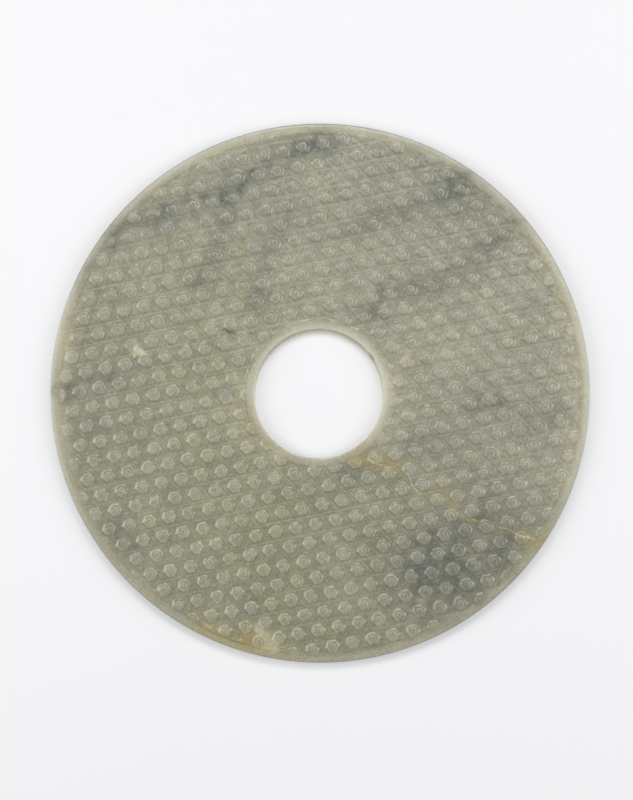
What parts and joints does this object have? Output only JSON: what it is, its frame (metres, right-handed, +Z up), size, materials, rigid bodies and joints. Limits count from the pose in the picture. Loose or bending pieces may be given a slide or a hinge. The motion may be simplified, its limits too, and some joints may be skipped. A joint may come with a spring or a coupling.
{
  "type": "jade bi disc",
  "caption": "Flat round jade ring with a large central hole, plain bands at rim and hole, and a sunk field of low hexagonal bosses between them.",
  "frame": {"origin": "on the ground under the centre of the disc's outline, which is the bottom centre of the bounding box; the disc lies flat, front face up", "axes": "+Z up through the front face; +Y towards the top of the disc as it is pictured; +X to the right"},
  "size_m": [0.22, 0.22, 0.005],
  "materials": {
    "jade": "softly polished grey-green nephrite with grey clouds, an ochre vein and cream edges"
  },
  "bodies": {
    "root": {"bi_disc": "jade"}
  },
  "joints": []
}
